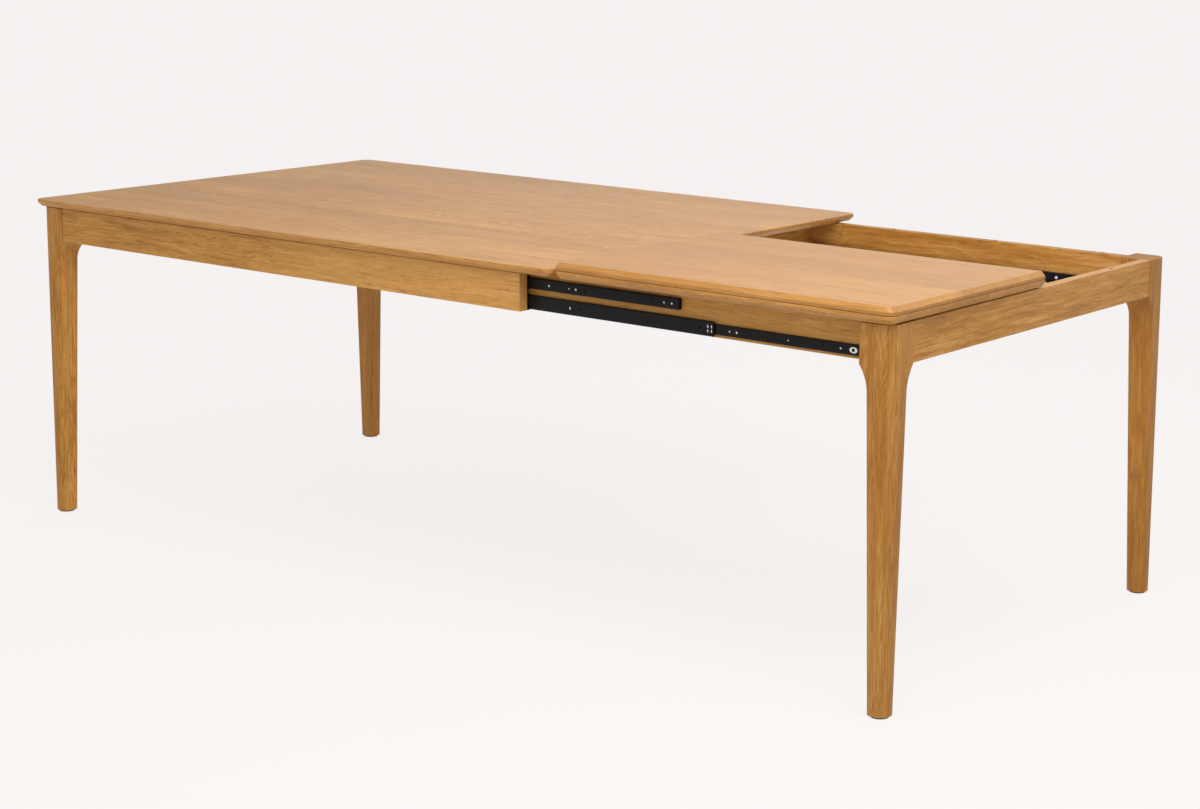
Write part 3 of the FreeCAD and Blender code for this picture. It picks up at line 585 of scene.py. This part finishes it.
def pan_head_pattern():
    """Pan head with a cross recess: radius 1, standing 0.5 high."""
    cross, arm, floor, top = 0.52, 0.15, 0.18, 0.5
    shoulder, brow = 0.74, 0.92
    mesh = bmesh.new()
    bmesh.ops.create_grid(mesh, x_segments=5, y_segments=5, size=cross)
    corners = [f for f in mesh.faces if min(abs(c) for c in f.calc_center_median()[:2]) > arm]
    bmesh.ops.delete(mesh, geom=corners, context="FACES")
    bmesh.ops.translate(mesh, vec=(0, 0, floor), verts=mesh.verts)
    recess = step_out(mesh, [e for e in mesh.edges if e.is_boundary], shift=(0, 0, top - floor))
    ring = bmesh.ops.create_circle(
        mesh, cap_ends=False, segments=24, radius=shoulder, matrix=Matrix.Translation((0, 0, top))
    )["verts"]
    rim = list({e for v in ring for e in v.link_edges})
    fill_flat(mesh, recess + rim, (0, 0, 1))
    for growth, drop in ((brow / shoulder, 0.10), (1.0 / brow, 0.22), (1.0, 0.18)):
        rim = step_out(mesh, rim, (growth, growth, 1.0), (0, 0, -drop))
    bmesh.ops.edgeloop_fill(mesh, edges=rim)
    bmesh.ops.recalc_face_normals(mesh, faces=mesh.faces)
    return mesh


def ring_pattern(outer, bore, thickness, edge, sides=32):
    """Flat ring with eased edges, or a nut where it has six sides: it stands on z = 0."""
    mesh = bmesh.new()
    bmesh.ops.create_circle(mesh, cap_ends=False, segments=sides, radius=outer)
    bmesh.ops.create_circle(mesh, cap_ends=False, segments=24, radius=bore)
    fill_flat(mesh, mesh.edges[:], (0, 0, 1))
    bmesh.ops.solidify(mesh, geom=mesh.faces[:], thickness=thickness)
    low = min(v.co.z for v in mesh.verts)
    bmesh.ops.translate(mesh, vec=(0, 0, -low), verts=mesh.verts)
    bmesh.ops.recalc_face_normals(mesh, faces=mesh.faces)
    half_way = (outer + bore) / 2
    right_angled = [e for e in mesh.edges if e.calc_face_angle(0.0) > 0.7]
    outside = [e for e in right_angled if all(v.co.xy.length > half_way for v in e.verts)]
    ease_edges(mesh, outside, edge, segments=2)
    return mesh


def turned_pattern(stops, steps):
    """Turned piece about Z, from (radius, height) stops that start and end on the axis."""
    mesh = bmesh.new()
    last = bmesh.ops.create_vert(mesh, co=(stops[0][0], 0, stops[0][1]))["vert"][0]
    for r, z in stops[1:]:
        last = bmesh.ops.extrude_vert_indiv(mesh, verts=[last])["verts"][0]
        last.co = (r, 0, z)
    bmesh.ops.spin(
        mesh,
        geom=mesh.verts[:] + mesh.edges[:],
        cent=(0, 0, 0),
        axis=(0, 0, 1),
        angle=math.tau,
        steps=steps,
        use_merge=True,
    )
    bmesh.ops.remove_doubles(mesh, verts=mesh.verts, dist=SAME_PLACE)
    bmesh.ops.recalc_face_normals(mesh, faces=mesh.faces)
    return mesh


def thread_pattern(radius, length, pitch):
    """Threaded rod along Z with a pointed thread and a bevelled end."""
    root = radius * 0.84
    stops = [(0.0, 0.0), (root, 0.0)]
    for turn in range(int(length / pitch)):
        stops += [(radius, pitch * (turn + 0.5)), (root, pitch * (turn + 1.0))]
    stops += [(radius * 0.70, length), (0.0, length)]
    return turned_pattern(stops, steps=20)


def stretched(profile, radius, length):
    """Stops of a turned piece, from a profile of unit radius and length."""
    return [(share * radius, rise * length) for share, rise in profile]


# ---------------------------------------------------------------- slides
MIDDLE_LOW, MIDDLE_HIGH = (Vector(corner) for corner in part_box("front_lower_slide_middle"))
INNER_LOW, INNER_HIGH = (Vector(corner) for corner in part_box("front_lower_slide_inner"))
UPPER_LOW, UPPER_HIGH = (Vector(corner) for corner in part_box("front_upper_slide_inner"))
LOWER_LEVEL = (MIDDLE_LOW.z + MIDDLE_HIGH.z) / 2
UPPER_LEVEL = (UPPER_LOW.z + UPPER_HIGH.z) / 2
MIDDLE_ROLL = 2.6 * MM
INNER_ROLL = 1.9 * MM
UPPER_ROLL = 2.1 * MM
CAGE_ROLL = 1.0 * MM
CAGE_SHEET = 0.6 * MM
CAGE_SHORT = 1.5 * MM
RIVET_LOW, RIVET_HIGH = (Vector(corner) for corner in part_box("front_slide_middle_rivets"))
RIVET_RADIUS = (RIVET_HIGH.z - RIVET_LOW.z) / 2
RIVETS = (RIVET_HIGH.x - RIVET_RADIUS, RIVET_LOW.x + RIVET_RADIUS)
RIVET_EYE = ((0, 0.15), (0.30, 0.15), (0.42, 0.46), (0.72, 0.50), (0.94, 0.36), (1, 0), (0, 0))
RIVET_EYE_RADIUS = 2.6 * MM * 0.9
RIVET_EYE_STRETCH = 1.15
LATCH_HOLE = (23, 2.2)  # from the right rivet, with its radius

# Places below are in millimetres from a member's right end, each with a radius. First, the pair
# of windows, one over the other, that show the ball cage.
WINDOWS = (15.2, 6.4)
WINDOW_RISE, WINDOW_HALF_WIDTH, WINDOW_HALF_HEIGHT = 4.3, 2.5, 4.0
MIDDLE_HOLES = ((26, 1.2), (34, 2.4), (238, 1.1), (382, 1.2), (500, 2.2), (700, 1.0))
LOWER_HOLES = (
    (96, 2.0), (233, 2.0), (420, 2.0), (610, 2.0), (770, 2.0),
    (140, 1.0), (330, 1.0), (560, 1.0), (30, 2.6),
)
UPPER_HOLES = ((67, 2.3), (91, 1.4), (236, 2.3), (249, 1.3), (400, 2.2), (450, 1.4), (580, 2.2))
LOWER_SCREWS = ((58, 2.1), (176, 1.4), (295, 2.3), (312, 1.7), (519, 2.1), (699, 2.1))
UPPER_SCREWS = ((17, 2.2), (36, 1.9), (258, 2.4), (276, 1.4), (328, 2.2), (513, 2.1))
SCREW_TURN = 0.37  # radians for each millimetre of place, so that no two crosses line up
# The ball cage's openings, from the middle member's right end: half width and half height.
CAGE_OPENINGS = ((30, 9.5, 6.0), (90, 24.0, 7.0), (160, 24.0, 7.0), (232, 24.0, 7.0))

STOP_LENGTH = 3.2 * MM
STOP_CORNER = 3.0 * MM
STOP_EDGE = 0.8 * MM
STOP_CLEARANCE = 0.2 * MM
EYE_RADIUS = 3.0 * MM
# An eyelet's section from its eye outwards: growth in width and in height, and rise.
EYELET_STEPS = (
    (1.06, 1.06, 0.75),
    (1.40, 1.22, 0.33),
    (1.50, 1.22, 0.0),
    (1.20, 1.12, -0.40),
    (1.03, 1.03, -0.66),
)


def round_openings(right, holes):
    """Openings at (place, radius) pairs, counted from a member's right end."""
    return [(right - place * MM, 0.0, radius * MM, radius * MM) for place, radius in holes]


def middle_member():
    place, radius = LATCH_HOLE
    openings = [(RIVETS[0] + place * MM, 0.0, radius * MM, radius * MM)]
    for place in WINDOWS:
        for side in (-1, 1):
            x, rise = MIDDLE_HIGH.x - place * MM, side * WINDOW_RISE * MM
            openings.append((x, rise, WINDOW_HALF_WIDTH * MM, WINDOW_HALF_HEIGHT * MM))
    openings += round_openings(MIDDLE_HIGH.x, MIDDLE_HOLES)
    return pressed_channel(
        MIDDLE_LOW, MIDDLE_HIGH, LOWER_LEVEL, MIDDLE_ROLL, openings, short=STOP_LENGTH
    )


def ball_cage():
    """Pressed cage between the members, cut out behind the middle member's holes."""
    low, high = (Vector(corner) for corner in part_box("front_slide_ball_cage"))
    openings = [
        (MIDDLE_HIGH.x - place * MM, 0.0, half_width * MM, half_height * MM)
        for place, half_width, half_height in CAGE_OPENINGS
    ]
    return pressed_channel(low, high, LOWER_LEVEL, CAGE_ROLL, openings, CAGE_SHEET, CAGE_SHORT)


def lower_inner_member():
    openings = round_openings(INNER_HIGH.x, LOWER_HOLES)
    return pressed_channel(INNER_LOW, INNER_HIGH, LOWER_LEVEL, INNER_ROLL, openings)


def upper_inner_member():
    openings = round_openings(UPPER_HIGH.x, UPPER_HOLES)
    return pressed_channel(
        UPPER_LOW, UPPER_HIGH, UPPER_LEVEL, UPPER_ROLL, openings, short=STOP_LENGTH
    )


def end_stop(low, high, level, back):
    """Moulded stop that closes a member's right end, with rounded corners."""
    mesh = bmesh.new()
    front = low.y
    size = Matrix.Diagonal((STOP_LENGTH, back - front, high.z - low.z, 1.0))
    place = Matrix.Translation((0.0, (front + back) / 2, level))
    bmesh.ops.create_cube(mesh, size=1.0, matrix=place @ size)
    ends = [e for e in mesh.edges if all(v.co.x > 0 for v in e.verts)]
    corners = [e for e in ends if abs(e.verts[0].co.y - e.verts[1].co.y) > 1 * MM]
    ease_edges(mesh, corners, STOP_CORNER, segments=6)
    face = front + SAME_PLACE
    rims = [e for e in mesh.edges if all(v.co.y < face and v.co.x > -1 * MM for v in e.verts)]
    ease_edges(mesh, rims, STOP_EDGE, segments=2)
    bmesh.ops.translate(mesh, vec=(high.x - STOP_LENGTH / 2, 0, 0), verts=mesh.verts)
    return mesh


def middle_stop():
    """Stop of the lower slide's middle member, shallow enough to pass the eyelet."""
    clear_of_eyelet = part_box("slide_eyelets")[0][1] - STOP_CLEARANCE
    return end_stop(MIDDLE_LOW, MIDDLE_HIGH, LOWER_LEVEL, clear_of_eyelet)


def upper_stop():
    return end_stop(UPPER_LOW, UPPER_HIGH, UPPER_LEVEL, UPPER_HIGH.y)


def member_rivets():
    """Two rivets with a raised eye that hold the middle member's latch."""
    mesh = bmesh.new()
    stretch = Matrix.Diagonal((1.0, RIVET_EYE_STRETCH, 1.0, 1.0))
    seats = [(x, MIDDLE_LOW.y, LOWER_LEVEL) for x in RIVETS]
    places = [facing(seat, (0, -1, 0), RIVET_EYE_RADIUS) @ stretch for seat in seats]
    drop_pattern(mesh, turned_pattern(RIVET_EYE, steps=24), places)
    return mesh


def inner_screw_heads():
    mesh = bmesh.new()
    places = []
    for end, level, front, screws in (
        (INNER_HIGH.x, LOWER_LEVEL, INNER_LOW.y, LOWER_SCREWS),
        (UPPER_HIGH.x, UPPER_LEVEL, UPPER_LOW.y, UPPER_SCREWS),
    ):
        for side in (1, -1):
            for place, radius in screws:
                seat = (end - place * MM, side * front, level)
                spin = Matrix.Rotation(place * SCREW_TURN, 4, "Z")
                places.append(facing(seat, (0, -side, 0), radius * MM) @ spin)
    drop_pattern(mesh, pan_head_pattern(), places)
    return mesh


def eyelets():
    """Oval plated eyelet near the end of each lower inner member."""
    mesh = bmesh.new()
    low, high = (Vector(corner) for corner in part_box("slide_eyelets"))
    centre_x, level = (low.x + high.x) / 2, (low.z + high.z) / 2
    half = (high.x - low.x) / 2
    for side in (-1, 1):
        ring = bmesh.new()
        bmesh.ops.create_circle(ring, cap_ends=False, segments=40, radius=EYE_RADIUS)
        rim = ring.edges[:]
        for wider, taller, rise in EYELET_STEPS:
            rim = step_out(ring, rim, (wider, taller, 1.0), (0, 0, rise * MM))
        widest = max(v.co.x for v in ring.verts)
        tallest = max(v.co.y for v in ring.verts)
        fit = (half / widest, (high.z - low.z) / 2 / tallest, 1.0)
        bmesh.ops.scale(ring, vec=fit, verts=ring.verts)
        bmesh.ops.recalc_face_normals(ring, faces=ring.faces)
        outer = max(ring.faces, key=lambda f: f.calc_center_median().z)
        if outer.normal.z < 0:
            bmesh.ops.reverse_faces(ring, faces=ring.faces)
        drop_pattern(mesh, ring, [facing((centre_x, side * abs(INNER_LOW.y), level), (0, side, 0))])
    return mesh


for side in ("front", "back"):
    sliding = side + "_slide_middle"
    for name, body, slot, mesh, *stands_for in (
        ("_middle_member", sliding, "black_steel", middle_member(), "_lower_slide_middle"),
        (
            "_lower_inner_member", "end_frame", "black_steel",
            lower_inner_member(), "_lower_slide_inner",
        ),
        (
            "_upper_inner_member", "end_frame", "black_steel",
            upper_inner_member(), "_upper_slide_inner",
        ),
        ("_ball_cage", sliding, "zinc_steel", ball_cage(), "_slide_ball_cage"),
        ("_middle_stop", sliding, "black_steel", middle_stop()),
        ("_upper_stop", "end_frame", "black_steel", upper_stop()),
        ("_member_rivets", sliding, "zinc_steel", member_rivets(), "_slide_middle_rivets"),
    ):
        if side == "back":
            turn_to_back(mesh)
        add_piece(side + name, body, slot, mesh, *(side + node for node in stands_for))
add_piece(
    "inner_member_screws", "end_frame", "zinc_steel", inner_screw_heads(), "slide_inner_screws"
)
add_piece("oval_eyelets", "end_frame", "zinc_steel", eyelets(), "slide_eyelets")


# ---------------------------------------------------------------- corner fixings and glides
NUT_RADIUS = 13.0 / math.sqrt(3) * MM  # to its corners; it is 13 mm across its flats
NUT_THICKNESS = 6.5 * MM
NUT_EDGE = 0.7 * MM
WASHER_RADIUS = 9.0 * MM
WASHER_THICKNESS = 1.6 * MM
WASHER_EDGE = 0.3 * MM
BOLT_RADIUS = 4.0 * MM
BOLT_PITCH = 1.25 * MM
BORE_RADIUS = BOLT_RADIUS * 1.02
DIAGONAL = math.sqrt(0.5)  # how far along X a unit step along the corner's diagonal goes
GLIDE_TREAD = (
    (0.0, 0.0), (0.91, 0.0), (0.955, 0.05), (0.985, 0.15), (1.0, 0.32), (1.0, 1.0), (0.0, 1.0),
)


def add_corner_fixings(end, body):
    """The hanger bolts, washers and nuts that pull two legs against their corner plates."""
    inward = 1 if end == "left" else -1  # along X, from the leg to the table's middle
    low, high = (Vector(corner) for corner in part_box(end + "_leg_bolts"))
    nut_low, nut_high = (Vector(corner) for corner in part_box(end + "_leg_nuts"))
    level = (low.z + high.z) / 2
    # A disc of radius r square to the diagonal reaches r * DIAGONAL along X past its middle.
    deep_x = (low.x if end == "left" else high.x) + inward * BOLT_RADIUS * DIAGONAL
    tip_x = (high.x if end == "left" else low.x) - inward * BOLT_RADIUS * DIAGONAL
    washer_x = (nut_low.x if end == "left" else nut_high.x) + inward * WASHER_RADIUS * DIAGONAL
    deep_y = high.y - BOLT_RADIUS * DIAGONAL
    bolt_places, washer_places, nut_places = [], [], []
    for side in (-1, 1):
        out = Vector((inward * DIAGONAL, -side * DIAGONAL, 0.0))
        root = Vector((deep_x, side * deep_y, level))
        seat = root + out * (abs(washer_x - deep_x) / DIAGONAL)
        bolt_places.append(facing(root, out))
        washer_places.append(facing(seat, out))
        flats_level = Matrix.Rotation(math.pi / 6, 4, "Z")
        nut_places.append(facing(seat + out * WASHER_THICKNESS, out) @ flats_level)
    bolt = thread_pattern(BOLT_RADIUS, abs(tip_x - deep_x) / DIAGONAL, BOLT_PITCH)
    washer = ring_pattern(WASHER_RADIUS, BORE_RADIUS, WASHER_THICKNESS, WASHER_EDGE)
    nut = ring_pattern(NUT_RADIUS, BORE_RADIUS, NUT_THICKNESS, NUT_EDGE, sides=6)
    bolts, nuts = bmesh.new(), bmesh.new()
    drop_pattern(bolts, bolt, bolt_places)
    drop_pattern(nuts, washer, washer_places)
    drop_pattern(nuts, nut, nut_places)
    add_piece(end + "_hanger_bolts", body, "zinc_steel", bolts, end + "_leg_bolts")
    add_piece(end + "_nuts_and_washers", body, "zinc_steel", nuts, end + "_leg_nuts")


def add_glides(end, body):
    """Moulded glide under each foot at one end: a nail-on disc with a rounded tread."""
    low, high = (Vector(corner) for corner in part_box(end + "_glides"))
    radius = (high.x - low.x) / 2
    tread = turned_pattern(stretched(GLIDE_TREAD, radius, high.z - low.z), steps=40)
    middle_x = (low.x + high.x) / 2
    places = [Matrix.Translation((middle_x, side * (high.y - radius), 0.0)) for side in (-1, 1)]
    glides = bmesh.new()
    drop_pattern(glides, tread, places)
    add_piece(end + "_foot_glides", body, "dark_plastic", glides, end + "_glides")


for end, body in (("left", "fixed_frame"), ("right", "end_frame")):
    add_corner_fixings(end, body)
    add_glides(end, body)


# ---------------------------------------------------------------- leaf's pins
BULLET = (
    (0.0, 1.0), (0.35, 0.990), (0.62, 0.965), (0.84, 0.925), (0.97, 0.875), (1.0, 0.82),
    (1.0, 0.0), (0.0, 0.0),
)


def locating_pins(node):
    """Two moulded pins with bullet noses, that point towards the fixed top."""
    low, high = (Vector(corner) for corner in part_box(node))
    radius = (high.z - low.z) / 2
    level = (low.z + high.z) / 2
    seats = [(high.x, y, level) for y in (low.y + radius, high.y - radius)]
    mesh = bmesh.new()
    pin = turned_pattern(stretched(BULLET, radius, high.x - low.x), steps=24)
    drop_pattern(mesh, pin, [facing(seat, (-1, 0, 0)) for seat in seats])
    return mesh


for half in ("front", "back"):
    pins = locating_pins(half + "_locating_pins")
    add_piece(
        half + "_bullet_pins", "leaf_" + half, "locating_plastic", pins, half + "_locating_pins"
    )


# ---------------------------------------------------------------- camera
CAMERA_PLACE = (3.49212, -4.12971, 1.52698)
CAMERA_YAW, CAMERA_PITCH, CAMERA_ROLL = 2.209154, 0.189325, 0.0127582
LENS, SENSOR = 72.61, 36.0
SHIFT_X, SHIFT_Y = -0.105, -0.0533


def make_camera():
    data = bpy.data.cameras.new("view")
    data.sensor_fit = "HORIZONTAL"
    data.sensor_width = SENSOR
    data.lens = LENS
    data.shift_x = SHIFT_X
    data.shift_y = SHIFT_Y
    data.clip_start = 0.1
    data.clip_end = 100.0
    camera = bpy.data.objects.new("view", data)
    yaw, pitch, roll = CAMERA_YAW, CAMERA_PITCH, CAMERA_ROLL
    forward = Vector(
        (math.cos(yaw) * math.cos(pitch), math.sin(yaw) * math.cos(pitch), -math.sin(pitch))
    )
    level = Vector((math.sin(yaw), -math.cos(yaw), 0.0))
    upright = level.cross(forward)
    right = level * math.cos(roll) + upright * math.sin(roll)
    up = upright * math.cos(roll) - level * math.sin(roll)
    turn = Matrix((right, up, -forward)).transposed()
    camera.matrix_world = Matrix.Translation(CAMERA_PLACE) @ turn.to_4x4()
    scene.collection.objects.link(camera)
    scene.camera = camera


# ---------------------------------------------------------------- floor and light
FLOOR_HALF = 40.0
FLOOR_ALBEDO = 0.10
FLOOR_GLOW = 0.910
FLOOR_GLOW_COLOR = (0.918, 0.888, 0.880, 1.0)
KEY_PLACE, KEY_TARGET = (1.75, -1.25, 2.95), (0.8, -0.3, 0.7)
KEY_SIZE, KEY_POWER = (2.0, 1.8), 76.0
KEY_COLOR = (1.0, 0.985, 0.965)
SKY_COLOR = (1.0, 0.985, 0.975, 1.0)
# Two glows of the sky: where each is brightest, the alignment with that direction at which it
# starts and is full, and its strength outside and inside.
WALL_GLOW = ((-0.086, 0.986, 0.14), (0.60, 0.92, 0.56, 1.45))
FRONT_GLOW = ((-0.35, -0.93, 0.10), (-0.30, 0.80, 0.0, 0.22))


def make_floor():
    mesh = bpy.data.meshes.new("floor")
    grid = bmesh.new()
    bmesh.ops.create_grid(grid, x_segments=1, y_segments=1, size=FLOOR_HALF)
    grid.to_mesh(mesh)
    grid.free()
    floor = bpy.data.objects.new("floor", mesh)
    scene.collection.objects.link(floor)
    r = Recipe("floor")
    r.finish(
        Base_Color=(FLOOR_ALBEDO, FLOOR_ALBEDO, FLOOR_ALBEDO, 1.0),
        Roughness=0.9,
        Emission_Color=FLOOR_GLOW_COLOR,
        Emission_Strength=FLOOR_GLOW,
    )
    r.shader.inputs["Specular IOR Level"].default_value = 0.0
    mesh.materials.append(r.material)


def make_key_light():
    data = bpy.data.lights.new("key", "AREA")
    data.shape = "RECTANGLE"
    data.size, data.size_y = KEY_SIZE
    data.energy = KEY_POWER
    data.color = KEY_COLOR
    lamp = bpy.data.objects.new("key", data)
    aim = (Vector(KEY_TARGET) - Vector(KEY_PLACE)).to_track_quat("-Z", "Y")
    lamp.matrix_world = Matrix.Translation(KEY_PLACE) @ aim.to_matrix().to_4x4()
    scene.collection.objects.link(lamp)


def make_sky():
    world = bpy.data.worlds.new("studio")
    scene.world = world
    world.use_nodes = True
    sky = world.node_tree
    direction = sky.nodes.new("ShaderNodeTexCoord")
    strength = sky.nodes.new("ShaderNodeMath")
    strength.operation = "ADD"
    for term, (brightest, span) in enumerate((WALL_GLOW, FRONT_GLOW)):
        alignment = sky.nodes.new("ShaderNodeVectorMath")
        alignment.operation = "DOT_PRODUCT"
        alignment.inputs[1].default_value = brightest
        sky.links.new(direction.outputs["Generated"], alignment.inputs[0])
        glow = sky.nodes.new("ShaderNodeMapRange")
        glow.interpolation_type = "SMOOTHSTEP"
        for socket, value in enumerate(span, 1):
            glow.inputs[socket].default_value = value
        sky.links.new(alignment.outputs["Value"], glow.inputs[0])
        sky.links.new(glow.outputs[0], strength.inputs[term])
    sky.nodes["Background"].inputs[0].default_value = SKY_COLOR
    sky.links.new(strength.outputs[0], sky.nodes["Background"].inputs[1])


make_camera()
make_floor()
make_key_light()
make_sky()
